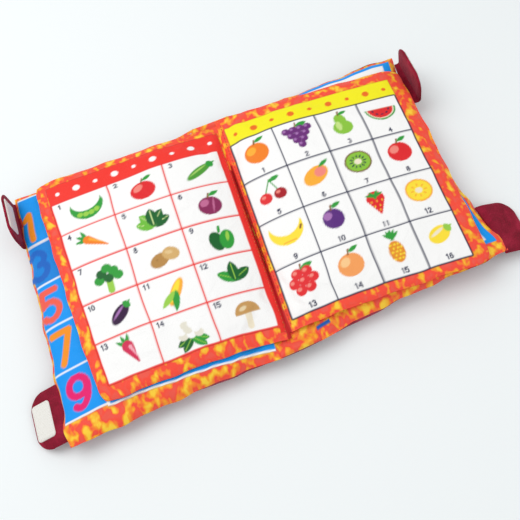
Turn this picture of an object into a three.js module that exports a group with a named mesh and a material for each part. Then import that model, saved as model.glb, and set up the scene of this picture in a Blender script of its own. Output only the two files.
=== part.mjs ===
// A stuffed cloth book, lying open on a table with its pages upward.
// Two cushions are its covers, a thinner padded spread is its two pages, and four tabs close it.
// Millimetres, +Z up, +X towards the right page, +Y towards the head of the pages.
// The origin is on the table, under the middle of the gutter.

import * as THREE from 'three';

// Cloth and clearances
const CLOTH = 1.2; // one sewn panel with its backing
const GAP = 0.3; // between neighbours that are sewn or laid together
const SEAT_GAP = 0.35; // under a page, where it lies on its cover

// Pages, cut as one spread and sewn down along a line beside its middle
const SPREAD_WIDTH = 458;
const GUTTER_OFFSET = 7; // middle of the spread to the sewn line
const PAGE_HEIGHT = 288;
const PAGE_LOFT = 8.5; // swell of the wadding in the middle of a page
const PAGE_DRAW = 2; // how far the wadding draws each side in between the corners
const PAGE_CREST = 0.5; // where a page lies highest, as a share of the way to its fore edge
const PAGE_FORE_FALL = 0.2; // fall of the fore edge, as a share of the cover's crown
const PAGE_SIDE_FALL = 0.3; // fall of head and tail, as a share of the cover's crown

// Covers, two stuffed cushions
const COVER_MARGIN = 14; // cover past the wider page, at the fore edge
const HEAD_MARGIN = 12; // cover past the pages, at head and tail
const COVER_DRAW = 6; // how far the filling draws fore edge and spine edge in between the corners
const COVER_END_DRAW = 2; // how far it draws head and tail in
const COVER_CROWN = 17; // rise of the upper panel over its seam
const SEAM_HEIGHT = 20; // of the covers' seam over the table
const REST_SHARE = 0.5; // share of the swell from which the under panel lies flat
const SPINE_WIDTH = 44;

// Closing tabs
const TAB_WIDTH = 64;
const TAB_REACH = 40; // from the fold line to the round end
const TAB_THICKNESS = 3;
const TAB_TIP_RADIUS = 20;
const TAB_INSET = 4; // from the cover's corner to the tab's side
const TAB_ROOM = 0.6; // free cloth between the seam and a tab that stands up
const TAB_ROOT_GAP = 0.5; // between the tab's root and the seam that it turns beside
const TAB_TIP_CLEAR = 3.4; // under the round end of a tab that lies down
const LIFTED_TAB = 90; // left top tab at rest, in degrees above level
const STANDING_TAB = 98; // right top tab at rest, leaning inwards
const PATCH_LENGTH = 40; // along the cover's edge
const PATCH_WIDTH = 24;
const PATCH_RIM = 2.5; // plush left past the patch at the round end
const PATCH_THICKNESS = 1.2;

// Shape of the swell
const LOFT_POWER = 2.6; // higher is flatter on top and steeper at the seams
const REST_EASE = 1.5; // how softly the under panel comes down to the table
const VALLEY_POWER = 2.5; // how a page rises out of the gutter
const FORE_POWER = 5; // how late a page falls towards its fore edge
const SIDE_POWER = 3; // how late a page falls towards head and tail

// Mesh steps
const ACROSS_STEPS = 12;
const ALONG_STEPS = 14;
const SPINE_STEPS = 2;
const TAB_REACH_STEPS = 7;
const TAB_WIDTH_STEPS = 4;

// Widths and heights that follow from the sizes above
const LEFT_PAGE_WIDTH = SPREAD_WIDTH / 2 - GUTTER_OFFSET;
const RIGHT_PAGE_WIDTH = SPREAD_WIDTH / 2 + GUTTER_OFFSET;
const COVER_EDGE = Math.max(LEFT_PAGE_WIDTH, RIGHT_PAGE_WIDTH) + COVER_MARGIN;
const COVER_WIDTH = COVER_EDGE - SPINE_WIDTH / 2 - GAP;
const COVER_CENTRE = COVER_EDGE - COVER_WIDTH / 2;
const COVER_HEIGHT = PAGE_HEIGHT + 2 * HEAD_MARGIN;
const UPPER_SEAM = SEAM_HEIGHT + GAP / 2;
const LOWER_SEAM = SEAM_HEIGHT - GAP / 2;
const PAGE_SEAT = UPPER_SEAM + CLOTH + COVER_CROWN + SEAT_GAP;
const PAGE_EDGE = 2 * CLOTH + GAP;
const FOLD_HEIGHT = PAGE_SEAT + PAGE_EDGE + PAGE_LOFT + GAP; // line that covers and pages turn about
const RIGHT_FOLD = COVER_EDGE + TAB_THICKNESS / 2 + TAB_ROOM; // line that a right tab turns about
const LEFT_FOLD = RIGHT_FOLD + TAB_THICKNESS + 2 * (GAP + PATCH_THICKNESS) + GAP;
const LAID_TAB = -Math.asin((SEAM_HEIGHT - TAB_THICKNESS / 2 - TAB_TIP_CLEAR) / TAB_REACH);
const PATCH_CENTRE = TAB_REACH - PATCH_RIM - PATCH_WIDTH / 2; // from the fold line

// Colours of the cloths
const PLUSH = 0x7a1424;
const COVER_PRINT = 0xe8542a;
const PAGE_PRINT = 0xf2e9d8;
const LINING = 0xd9472a;
const FIBRE = 0xf4f2ec;
const FASTENER = 0xeeebe2;

// Grid stops from -1 to 1, closer together towards both ends
function seamStops(steps) {
  return Array.from({ length: steps + 1 }, (_, i) => Math.sin((i / steps - 0.5) * Math.PI));
}

// Grid stops from -1 to 1, evenly spaced
function evenStops(steps) {
  return Array.from({ length: steps + 1 }, (_, i) => (2 * i) / steps - 1);
}

// Closed solid between two sheets over the same grid, with a rim round their edges
function solidBetween(upper, lower, columns, rows) {
  const layer = columns.length * rows.length;
  const positions = [];
  for (const sheet of [upper, lower]) {
    for (const v of rows) {
      for (const u of columns) {
        positions.push(...sheet(u, v));
      }
    }
  }

  const at = (column, row) => row * columns.length + column;
  const faces = [];
  const quad = (a, b, c, d) => faces.push(a, b, c, a, c, d);
  const lastColumn = columns.length - 1;
  const lastRow = rows.length - 1;
  for (let row = 0; row < lastRow; row += 1) {
    for (let column = 0; column < lastColumn; column += 1) {
      const ring = [at(column, row), at(column + 1, row), at(column + 1, row + 1), at(column, row + 1)];
      const [a, b, c, d] = ring;
      quad(a, b, c, d);
      quad(layer + a, layer + d, layer + c, layer + b);
    }
  }
  for (let column = 0; column < lastColumn; column += 1) {
    const near = [at(column, 0), at(column + 1, 0)];
    const far = [at(column + 1, lastRow), at(column, lastRow)];
    quad(near[0], layer + near[0], layer + near[1], near[1]);
    quad(far[0], layer + far[0], layer + far[1], far[1]);
  }
  for (let row = 0; row < lastRow; row += 1) {
    const start = [at(0, row + 1), at(0, row)];
    const end = [at(lastColumn, row), at(lastColumn, row + 1)];
    quad(start[0], layer + start[0], layer + start[1], start[1]);
    quad(end[0], layer + end[0], layer + end[1], end[1]);
  }

  const geometry = new THREE.BufferGeometry();
  geometry.setAttribute('position', new THREE.Float32BufferAttribute(positions, 3));
  geometry.setIndex(faces);
  geometry.computeVertexNormals();
  return geometry;
}

// Named piece with a material of its own
function piece(name, geometry, color, roughness) {
  const material = new THREE.MeshStandardMaterial({ color, roughness, metalness: 0 });
  const mesh = new THREE.Mesh(geometry, material);
  mesh.name = name;
  return mesh;
}

// Swell of a stuffed panel: 0 on its seam, 1 in its middle
function loft(u, v) {
  return Math.sqrt((1 - Math.abs(u) ** LOFT_POWER) * (1 - Math.abs(v) ** LOFT_POWER));
}

// Plan of a panel whose sides are drawn in between the corners
function drawnPlan(centre, width, height, drawX, drawY) {
  return (u, v) => [
    centre + u * (width / 2 - drawX * (1 - v * v)),
    v * (height / 2 - drawY * (1 - u * u)),
  ];
}

// Sheet over a plan, at a height given over the same grid and moved by lift
function sheetOver(plan, height, lift) {
  return (u, v) => [...plan(u, v), height(u, v) + lift];
}

// Upper panel, under panel and filling of one padded form
function paddedForm(plan, over, under) {
  const columns = seamStops(ACROSS_STEPS);
  const rows = seamStops(ALONG_STEPS);
  const inner = CLOTH + GAP;
  return {
    upper: solidBetween(sheetOver(plan, over, 0), sheetOver(plan, over, -CLOTH), columns, rows),
    lower: solidBetween(sheetOver(plan, under, CLOTH), sheetOver(plan, under, 0), columns, rows),
    filling: solidBetween(
      sheetOver(plan, over, -inner),
      sheetOver(plan, under, inner),
      columns.slice(1, -1),
      rows.slice(1, -1),
    ),
  };
}

// A cover: plush shell on the table, printed face, and fibre between them
function makeCover(name, side) {
  const plan = drawnPlan(side * COVER_CENTRE, COVER_WIDTH, COVER_HEIGHT, COVER_DRAW, COVER_END_DRAW);
  const face = (u, v) => UPPER_SEAM + CLOTH + COVER_CROWN * loft(u, v);
  const base = (u, v) => {
    const lifted = 1 - Math.min(1, loft(u, v) / REST_SHARE);
    return (LOWER_SEAM - CLOTH) * lifted ** REST_EASE;
  };
  const form = paddedForm(plan, face, base);
  return [
    piece(`${name}_face`, form.upper, COVER_PRINT, 0.85),
    piece(`${name}_shell`, form.lower, PLUSH, 0.9),
    piece(`${name}_filling`, form.filling, FIBRE, 1),
  ];
}

// A page: it lies on its cover's crown, dips into the gutter and falls towards its other edges
function makePage(name, side, width) {
  const plan = drawnPlan(side * (GAP / 2 + width / 2), width, PAGE_HEIGHT, PAGE_DRAW, PAGE_DRAW);
  const under = (u, v) => {
    const across = (1 + side * u) / 2;
    const dip = Math.max(0, 1 - across / PAGE_CREST) ** VALLEY_POWER;
    const fore = Math.max(0, (across - PAGE_CREST) / (1 - PAGE_CREST)) ** FORE_POWER;
    const ends = Math.abs(v) ** SIDE_POWER * (1 - dip);
    return PAGE_SEAT - COVER_CROWN * (dip + PAGE_FORE_FALL * fore + PAGE_SIDE_FALL * ends);
  };
  const over = (u, v) => under(u, v) + PAGE_EDGE + PAGE_LOFT * loft(u, v);
  const form = paddedForm(plan, over, under);
  return [
    piece(`${name}_front`, form.upper, PAGE_PRINT, 0.85),
    piece(`${name}_back`, form.lower, LINING, 0.85),
    piece(`${name}_wadding`, form.filling, FIBRE, 1),
  ];
}

// The spine: two strips that widen between their ends, to meet the drawn sides of the covers
function makeSpine() {
  const plan = drawnPlan(0, SPINE_WIDTH, COVER_HEIGHT, -COVER_DRAW, COVER_END_DRAW);
  const strip = (height) => solidBetween(
    sheetOver(plan, () => height, CLOTH),
    sheetOver(plan, () => height, 0),
    seamStops(SPINE_STEPS),
    seamStops(ALONG_STEPS),
  );
  return [
    piece('spine_lining', strip(UPPER_SEAM), LINING, 0.85),
    piece('spine_outer', strip(LOWER_SEAM - CLOTH), PLUSH, 0.9),
  ];
}

// Side edge of a cover at a place along the spine, measured from the gutter
function coverSide(y) {
  const v = y / (COVER_HEIGHT / 2);
  return COVER_EDGE - COVER_DRAW * (1 - v * v);
}

// Half width of a tab at a distance past its fold line
function tabHalfWidth(distance) {
  const past = Math.max(0, distance - (TAB_REACH - TAB_TIP_RADIUS)) / TAB_TIP_RADIUS;
  return TAB_WIDTH / 2 - TAB_TIP_RADIUS * (1 - Math.sqrt(1 - Math.min(1, past) ** 2));
}

// A tab and its fastener patch: level from the seam to the fold line, then at the angle it rests at
function makeTab(name, patchName, side, end, rise) {
  const fold = side > 0 ? RIGHT_FOLD : LEFT_FOLD;
  const middle = end * (COVER_HEIGHT / 2 - TAB_INSET - TAB_WIDTH / 2);
  const place = (along, across, off, turn, bend) => [
    side * (fold + along * Math.cos(turn) - off * Math.sin(bend)),
    middle + side * across,
    SEAM_HEIGHT + along * Math.sin(turn) + off * Math.cos(bend),
  ];

  const skin = (off) => (u, v) => {
    const across = v * tabHalfWidth(Math.max(0, u) * TAB_REACH);
    const neck = fold - TAB_ROOT_GAP - coverSide(middle + side * across);
    const along = u < 0 ? u * neck : u * TAB_REACH;
    return place(along, across, off, u > 0 ? rise : 0, (rise * (1 + Math.sign(u))) / 2);
  };
  const half = TAB_THICKNESS / 2;
  const blade = Array.from(
    { length: TAB_REACH_STEPS + 1 },
    (_, i) => Math.sin((i / TAB_REACH_STEPS) * (Math.PI / 2)),
  );
  const columns = [-1, ...blade];
  const cloth = solidBetween(skin(half), skin(-half), columns, evenStops(TAB_WIDTH_STEPS));

  // Hooks are on the upper face of a left tab, loops are on the under face of a right one
  const near = half + GAP;
  const far = near + PATCH_THICKNESS;
  const [high, low] = side < 0 ? [far, near] : [-near, -far];
  const patch = (off) => (u, v) => place(
    PATCH_CENTRE + (u * PATCH_WIDTH) / 2,
    (v * PATCH_LENGTH) / 2,
    off,
    rise,
    rise,
  );
  return [
    piece(name, cloth, PLUSH, 0.9),
    piece(patchName, solidBetween(patch(high), patch(low), [-1, 1], [-1, 1]), FASTENER, 0.95),
  ];
}

const lifted = THREE.MathUtils.degToRad(LIFTED_TAB);
const standing = THREE.MathUtils.degToRad(STANDING_TAB);
const book = new THREE.Group();
book.add(
  ...makeCover('right_cover', 1),
  ...makeCover('left_cover', -1),
  ...makeSpine(),
  ...makePage('left_page', -1, LEFT_PAGE_WIDTH),
  ...makePage('right_page', 1, RIGHT_PAGE_WIDTH),
  ...makeTab('left_top_tab', 'left_top_hook_patch', -1, 1, lifted),
  ...makeTab('left_bottom_tab', 'left_bottom_hook_patch', -1, -1, LAID_TAB),
  ...makeTab('right_top_tab', 'right_top_loop_patch', 1, 1, standing),
  ...makeTab('right_bottom_tab', 'right_bottom_loop_patch', 1, -1, LAID_TAB),
);

export default book;
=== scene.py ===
"""Dresses a stuffed cloth book that lies open: cushion covers, padded pages, plush tabs.

Sizes are in millimetres and repeat the part's own values. Meshes are made in metres, in the model's frame.
"""

import logging
import math
from dataclasses import dataclass
from enum import Enum
from functools import partial

import bpy
import numpy as np
from mathutils import Matrix, Vector


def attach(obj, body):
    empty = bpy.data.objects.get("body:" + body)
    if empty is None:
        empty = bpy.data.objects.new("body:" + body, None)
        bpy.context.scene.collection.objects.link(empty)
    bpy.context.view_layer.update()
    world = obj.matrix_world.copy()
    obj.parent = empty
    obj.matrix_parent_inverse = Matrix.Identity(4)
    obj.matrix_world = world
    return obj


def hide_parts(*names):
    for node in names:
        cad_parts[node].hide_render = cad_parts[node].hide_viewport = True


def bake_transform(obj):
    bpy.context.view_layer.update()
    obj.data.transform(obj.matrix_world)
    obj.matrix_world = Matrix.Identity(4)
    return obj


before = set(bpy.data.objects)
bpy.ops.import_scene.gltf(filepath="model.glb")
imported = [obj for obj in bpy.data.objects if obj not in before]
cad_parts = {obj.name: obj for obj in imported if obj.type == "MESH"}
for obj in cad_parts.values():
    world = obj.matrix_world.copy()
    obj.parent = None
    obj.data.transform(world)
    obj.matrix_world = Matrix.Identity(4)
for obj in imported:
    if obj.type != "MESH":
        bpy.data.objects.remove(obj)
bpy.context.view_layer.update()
LOG = logging.getLogger("cushion_book")

Array = np.ndarray
Object = bpy.types.Object
Tree = bpy.types.NodeTree

MM = 0.001
CLOTH = 1.2
SEAM_HEIGHT = 20.0
UPPER_SEAM = 20.15
LOWER_SEAM = 19.85
# How far the rounded ring of a seam stands out past the sewn panels.
SEAM_LIP = 0.7
CROWN = 17.0
LOFT_POWER = 2.6
COVER_EDGE = 250.0
COVER_HALF_HEIGHT = 156.0
PAGE_REACH = 236.0
GUTTER_LEAN = 6.0
# How often a coarse cell of a cushion is halved after the stuffing. It sets how fine the print can be.
PRINT_HALVINGS = 2
PLAIN_HALVINGS = 1
# A wave texture of this scale repeats once in each unit of its coordinates.
WAVE_UNIT = 0.314


class Side(Enum):
    """The two halves of the open book, with the sign of their x."""

    LEFT = -1
    RIGHT = 1

    @property
    def word(self) -> str:
        """Gives the side's name as the bodies use it."""
        return self.name.lower()


class End(Enum):
    """The ends of a fore edge, where its two tabs are."""

    TOP = "top"
    BOTTOM = "bottom"


class Shape(Enum):
    """The outlines that the printed pictures are made of."""

    OVAL = "oval"
    LEAF = "leaf"
    BAR = "bar"
    CONE = "cone"
    CRESCENT = "crescent"
    HALF = "half"


@dataclass(frozen=True)
class Lie:
    """How one half of the soft book has slumped out of square, in millimetres or shares at its fore edge."""

    side: Side
    cover_skew: float
    cover_spread: float
    cover_splay: float
    cover_drop: float
    cover_narrow: float
    fore_draw: float
    page_scale: float
    page_taper: float
    page_narrow: float
    page_tuck: float
    page_skew: float
    page_rise: float

    def cover(self, x: Array, y: Array) -> tuple[Array, Array]:
        """Moves points of the cover along the spine, spreads it, and lets its tail corner slip out.

        Args:
            x: The points' distances from the gutter, in millimetres.
            y: Their places along the spine.

        Returns:
            The points' new x and y.
        """
        out = np.clip(self.side.value * x / COVER_EDGE, 0, None)
        tail = (1 - y / COVER_HALF_HEIGHT) / 2
        spread = out * out * (self.cover_spread + self.cover_splay * tail)
        slip = out * (self.side.value * self.cover_skew - self.cover_drop * tail - self.cover_narrow * y)
        return x + self.side.value * spread, y + slip

    def fore_edge(self, y: Array) -> Array:
        """Gives how far the cover's fore edge lies from the gutter."""
        drawn = COVER_EDGE - self.fore_draw * (1 - (y / COVER_HALF_HEIGHT) ** 2)
        return np.abs(self.cover(self.side.value * drawn, y)[0])

    def page(self, x: Array, y: Array, v: Array) -> tuple[Array, Array]:
        """Moves points of the page along the spine, widens its head and tucks its tail corner in.

        Args:
            x: The points' distances from the gutter, in millimetres.
            y: Their places along the spine.
            v: The same places, from -1 at the tail to 1 at the head.

        Returns:
            The points' new x and y.
        """
        sign, out = self.side.value, np.abs(x) / PAGE_REACH
        tuck = self.page_tuck * out * out * np.clip((1 - v) / 2, 0, 1) ** 4
        wide = x * self.page_scale * (1 + self.page_taper * v) - sign * tuck
        lean = GUTTER_LEAN * v * np.clip(1 - out, 0, 1)
        slip = self.page_rise * (1 - out) - sign * self.page_skew * out
        return wide + lean, y * (1 - self.page_narrow * out * out) + slip


LIES = {
    Side.LEFT: Lie(
        Side.LEFT, cover_skew=9.0, cover_spread=10.0, cover_splay=6.0, cover_drop=8.0, cover_narrow=0.0,
        fore_draw=1.0, page_scale=1.015, page_taper=0.02, page_narrow=0.0, page_tuck=7.0, page_skew=1.0,
        page_rise=2.0),
    Side.RIGHT: Lie(
        Side.RIGHT, cover_skew=12.0, cover_spread=0.0, cover_splay=9.0, cover_drop=0.0, cover_narrow=0.03,
        fore_draw=12.5, page_scale=1.0, page_taper=0.025, page_narrow=0.03, page_tuck=0.0, page_skew=5.0,
        page_rise=8.5)}


# Colour and nodes


def linear(code: str) -> tuple[float, float, float, float]:
    """Turns an sRGB hex value into linear colour.

    Args:
        code: Six hex digits with a leading hash.

    Returns:
        Red, green, blue and an alpha of 1.
    """
    parts = [int(code[i:i + 2], 16) / 255 for i in (1, 3, 5)]
    red, green, blue = (p / 12.92 if p <= 0.04045 else ((p + 0.055) / 1.055) ** 2.4 for p in parts)
    return red, green, blue, 1.0


def add(tree: Tree, kind: str, inputs: dict | None = None, ramp: tuple = (), **settings) -> bpy.types.Node:
    """Adds a node with its settings and links.

    Args:
        tree: The node tree that gets the node.
        kind: The node's type.
        inputs: Values or output sockets by input name or number.
        ramp: Places and hex colours, for a colour ramp.
        **settings: Properties of the node.

    Returns:
        The new node.
    """
    made = tree.nodes.new(kind)
    for key, value in settings.items():
        setattr(made, key, value)
    for key, value in (inputs or {}).items():
        if isinstance(value, bpy.types.NodeSocket):
            tree.links.new(value, made.inputs[key])
        else:
            made.inputs[key].default_value = value
    for i, (place, code) in enumerate(ramp):
        elements = made.color_ramp.elements
        element = elements[i] if i < 2 else elements.new(place)
        element.position, element.color = place, linear(code)
    return made


# Finishes


@dataclass(frozen=True)
class Finish:
    """A finish, named for its material and how the surface was made."""

    name: str

    def surface(self, tree: Tree) -> dict:
        """Adds the nodes of the surface and gives the shader's inputs."""
        raise NotImplementedError

    def make(self) -> bpy.types.Material:
        """Builds the finish.

        Returns:
            The material.
        """
        material = bpy.data.materials.new(self.name)
        material.use_nodes = True
        tree = material.node_tree
        tree.nodes.clear()
        shader = add(tree, "ShaderNodeBsdfPrincipled", self.surface(tree))
        add(tree, "ShaderNodeOutputMaterial", {"Surface": shader.outputs[0]})
        return material


@dataclass(frozen=True)
class PrintedSatin(Finish):
    """Woven polyester satin, heat-printed: flat bright ink over a fine weave with a soft shine.

    The ground is printed with amber flakes on red, and the ink of each panel is laid over it. The sparse
    value says how few the flakes are.
    """

    sparse: float
    ground: str = "#FA4E3A"
    shade: str = "#F25A4A"
    flake: str = "#FBA026"
    light_flake: str = "#FFD23C"
    flake_size: float = 9.5
    thread: float = 1.7
    crease: float = 26.0

    def surface(self, tree: Tree) -> dict:
        """Lays the ground, the ink, the weave and the creases out in millimetres of the flat cloth.

        Args:
            tree: The material's node tree.

        Returns:
            The shader's inputs.
        """
        cut = add(tree, "ShaderNodeAttribute", attribute_name="cut").outputs["Vector"]
        ink = add(tree, "ShaderNodeAttribute", attribute_name="print")
        # Flakes stand aslant, longer than they are wide.
        slant = add(tree, "ShaderNodeMapping", {
            "Vector": cut, "Rotation": (0, 0, 0.7), "Scale": (1.0, 0.75, 1.0)})
        drift = add(tree, "ShaderNodeTexNoise", {
            "Vector": slant.outputs[0], "Scale": 1 / self.flake_size, "Detail": 1.8, "Roughness": 0.45,
            "Distortion": 0.2})
        flakes = add(tree, "ShaderNodeValToRGB", {"Fac": drift.outputs["Fac"]}, ramp=(
            (0.34, self.shade), (0.44, self.ground), (self.sparse - 0.06, self.ground),
            (self.sparse + 0.03, self.flake), (self.sparse + 0.13, self.light_flake)))
        base = add(tree, "ShaderNodeMix", {
            0: ink.outputs["Alpha"], 6: flakes.outputs["Color"], 7: ink.outputs["Color"]}, data_type="RGBA")
        # The real threads are about 0.2 mm, too fine to show, so the weave is drawn at 1.7 mm.
        yarn = {"Vector": cut, "Scale": WAVE_UNIT / self.thread, "Distortion": 1.0}
        warp, weft = (add(tree, "ShaderNodeTexWave", yarn, bands_direction=way) for way in "XY")
        weave = add(tree, "ShaderNodeMath", {0: warp.outputs["Fac"], 1: weft.outputs["Fac"]},
                    operation="MULTIPLY")
        folds = add(tree, "ShaderNodeTexNoise", {
            "Vector": cut, "Scale": 1 / self.crease, "Detail": 3.0, "Roughness": 0.5, "Distortion": 0.6})
        worn = add(tree, "ShaderNodeMapRange", {
            "Value": folds.outputs["Fac"], 1: 0.3, 2: 0.7, 3: 0.46, 4: 0.62})
        soft = add(tree, "ShaderNodeBump", {
            "Height": folds.outputs["Fac"], "Strength": 0.35, "Distance": 0.006})
        fine = add(tree, "ShaderNodeBump", {
            "Height": weave.outputs[0], "Strength": 0.18, "Distance": 0.0004, "Normal": soft.outputs[0]})
        return {"Base Color": base.outputs[2], "Roughness": worn.outputs[0], "Normal": fine.outputs[0],
                "IOR": 1.5, "Sheen Weight": 0.05, "Sheen Roughness": 0.4, "Specular IOR Level": 0.25}


@dataclass(frozen=True)
class CutPlush(Finish):
    """Knitted polyester plush with a cut pile: a deep maroon, painted lighter where the pile is raised and
    leans over as painted sheen, and darker down in the pile as painted shade.
    """

    deep: str = "#6E0D20"
    mid: str = "#8F1530"
    tip: str = "#A8233F"
    glow: str = "#E58A9C"
    pile: float = 1.5
    brushed: float = 22.0

    def surface(self, tree: Tree) -> dict:
        """Lays brushed patches and tufts of pile over each other.

        Args:
            tree: The material's node tree.

        Returns:
            The shader's inputs.
        """
        cut = add(tree, "ShaderNodeAttribute", attribute_name="cut").outputs["Vector"]
        lean = add(tree, "ShaderNodeTexNoise", {
            "Vector": cut, "Scale": 1 / self.brushed, "Detail": 3.0, "Distortion": 1.2})
        # Single fibres are too fine to show, so tufts of 1.5 mm stand for the pile.
        tufts = add(tree, "ShaderNodeTexNoise", {
            "Vector": cut, "Scale": 1 / self.pile, "Detail": 2.0, "Roughness": 0.65})
        both = add(tree, "ShaderNodeMix", {0: 0.45, 2: lean.outputs["Fac"], 3: tufts.outputs["Fac"]},
                   data_type="FLOAT")
        # The hue follows the nap's bump: the middle maroon is the plush's own colour, the lighter tint on
        # the raised tufts and brushed patches is painted sheen, and the darkest tint down in the pile is
        # painted shade.
        hue = add(tree, "ShaderNodeValToRGB", {"Fac": both.outputs[0]},
                  ramp=((0.36, self.deep), (0.52, self.mid), (0.68, self.tip)))
        rough = add(tree, "ShaderNodeMapRange", {
            "Value": tufts.outputs["Fac"], 1: 0.3, 2: 0.7, 3: 0.78, 4: 0.95})
        nap = add(tree, "ShaderNodeBump", {"Height": both.outputs[0], "Strength": 0.6, "Distance": 0.0016})
        return {"Base Color": hue.outputs["Color"], "Roughness": rough.outputs[0], "Normal": nap.outputs[0],
                "IOR": 1.5, "Specular IOR Level": 0.2, "Sheen Weight": 0.45, "Sheen Roughness": 0.35,
                "Sheen Tint": linear(self.glow)}


@dataclass(frozen=True)
class FastenerTape(Finish):
    """Woven nylon fastener tape: rows of moulded hooks, or a brushed field of loops, in near white."""

    high: str
    low: str
    spacing: float
    ragged: float
    fuzz: float = 0.909

    def surface(self, tree: Tree) -> dict:
        """Sets hooks in rows, or loops in loose curls, with a little fuzz, and paints the low places between
        them a darker grey as painted shade.

        Args:
            tree: The material's node tree.

        Returns:
            The shader's inputs.
        """
        cut = add(tree, "ShaderNodeAttribute", attribute_name="cut").outputs["Vector"]
        rows = add(tree, "ShaderNodeTexVoronoi", {
            "Vector": cut, "Scale": 1 / self.spacing, "Randomness": self.ragged})
        fuzz = add(tree, "ShaderNodeTexNoise", {"Vector": cut, "Scale": 1 / self.fuzz, "Detail": 2.0})
        field = add(tree, "ShaderNodeMix", {0: 0.3, 2: rows.outputs["Distance"], 3: fuzz.outputs["Fac"]},
                    data_type="FLOAT")
        # The darker low colour follows the sunken parts of the bump: painted shade between the hooks and
        # loops.
        hue = add(tree, "ShaderNodeValToRGB", {"Fac": field.outputs[0]},
                  ramp=((0.15, self.high), (0.75, self.low)))
        rough = add(tree, "ShaderNodeMapRange", {"Value": field.outputs[0], 1: 0.0, 2: 1.0, 3: 0.5, 4: 0.85})
        relief = add(tree, "ShaderNodeBump", {
            "Height": field.outputs[0], "Strength": 0.5, "Distance": 0.0008}, invert=True)
        return {"Base Color": hue.outputs["Color"], "Roughness": rough.outputs[0],
                "Normal": relief.outputs[0], "IOR": 1.53, "Sheen Weight": 0.1, "Specular IOR Level": 0.4}


@dataclass(frozen=True)
class SewingThread(Finish):
    """Twisted polyester sewing thread: a round strand with a slanting twist and a faint shine."""

    light: str
    dark: str
    twist: float = 0.9

    def surface(self, tree: Tree) -> dict:
        """Winds light and dark turns slantwise round the strand; the light turns are the thread's own
        colour, and the dark turns lie in the grooves of the twist as painted shade.

        Args:
            tree: The material's node tree.

        Returns:
            The shader's inputs.
        """
        place = add(tree, "ShaderNodeTexCoord").outputs["Object"]
        turns = add(tree, "ShaderNodeTexWave", {
            "Vector": place, "Scale": WAVE_UNIT / (self.twist * MM), "Distortion": 0.6},
            bands_direction="DIAGONAL").outputs["Fac"]
        # The dark colour falls where the bump sinks: painted shade in the grooves of the twist.
        hue = add(tree, "ShaderNodeValToRGB", {"Fac": turns}, ramp=((0.2, self.dark), (0.75, self.light)))
        rough = add(tree, "ShaderNodeMapRange", {"Value": turns, 3: 0.65, 4: 0.45})
        ply = add(tree, "ShaderNodeBump", {"Height": turns, "Strength": 0.4, "Distance": 0.0002})
        return {"Base Color": hue.outputs["Color"], "Roughness": rough.outputs[0], "Normal": ply.outputs[0],
                "IOR": 1.55}


@dataclass(frozen=True)
class StudioBoard(Finish):
    """Matt painted board: an even pale floor with the faintest roller texture."""

    paint: str = "#F4F9FA"
    roller: float = 2.5

    def surface(self, tree: Tree) -> dict:
        """Rolls the paint on.

        Args:
            tree: The material's node tree.

        Returns:
            The shader's inputs.
        """
        place = add(tree, "ShaderNodeTexCoord").outputs["Object"]
        nubs = add(tree, "ShaderNodeTexNoise", {
            "Vector": place, "Scale": 1 / (self.roller * MM), "Detail": 2.0})
        relief = add(tree, "ShaderNodeBump", {
            "Height": nubs.outputs["Fac"], "Strength": 0.03, "Distance": 0.0005})
        return {"Base Color": linear(self.paint), "Roughness": 0.9, "Normal": relief.outputs[0],
                "Specular IOR Level": 0.1}


class Finishes:
    """The finishes of the book, each made once."""

    def __init__(self) -> None:
        """Makes every finish."""
        self.satin = PrintedSatin("polyester_satin_woven_heat_printed", 0.505).make()
        self.page_satin = PrintedSatin("polyester_satin_woven_heat_printed_page", 0.565).make()
        self.plush = CutPlush("polyester_plush_knitted_cut_pile").make()
        self.hooks = FastenerTape("nylon_hook_tape_woven_moulded", "#FBFAF6", "#D9D6CC", 1.5, 0.25).make()
        self.loops = FastenerTape("nylon_loop_tape_knitted_brushed", "#F6F4EE", "#CFCBBF", 2.4, 1.0).make()
        self.thread = SewingThread("polyester_thread_twisted", "#F06A3C", "#B32A1B").make()
        self.tape_thread = SewingThread("polyester_thread_twisted_white", "#F4F2EC", "#CBC6BA").make()


# Pictures


def ray(turn: float) -> tuple[float, float]:
    """Gives the x and y of a step of one in a direction in degrees."""
    return math.cos(math.radians(turn)), math.sin(math.radians(turn))


@dataclass(frozen=True)
class Mark:
    """One shape of a printed picture, in a frame that runs from -1 to 1 across the picture."""

    shape: Shape
    tint: str
    x: float
    y: float
    a: float
    b: float
    turn: float = 0.0

    def depth(self, x: Array, y: Array, size: float) -> Array:
        """Gives how far points lie inside the shape.

        Args:
            x: The points' places to the right of the picture's middle, in millimetres.
            y: Their places above it.
            size: Half the picture's width.

        Returns:
            The depths in millimetres, below 0 outside the shape.
        """
        x, y, a, b = x - self.x * size, y - self.y * size, self.a * size, self.b * size
        c, s = ray(self.turn)
        u, v = x * c + y * s, y * c - x * s
        if self.shape is Shape.OVAL:
            return (1 - np.hypot(u / a, v / b)) * min(a, b)
        if self.shape is Shape.LEAF:
            bow = (a * a + b * b) / (2 * b)
            return bow - np.hypot(u, np.abs(v) + bow - b)
        if self.shape is Shape.BAR:
            return b - np.hypot(u - np.clip(u, -a, a), v)
        if self.shape is Shape.CONE:
            along = np.clip(u, -a, a)
            return b * (1 - 0.42 * (1 + along / a)) - np.hypot(u - along, v)
        if self.shape is Shape.CRESCENT:
            return np.minimum(a - np.hypot(u, v), np.hypot(u, v - b) - a * 0.92)
        return np.minimum(a - np.hypot(u, v), -v)


Picture = tuple[Mark, ...]
oval, leaf, bar, cone, crescent, half = (partial(Mark, shape) for shape in Shape)

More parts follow.
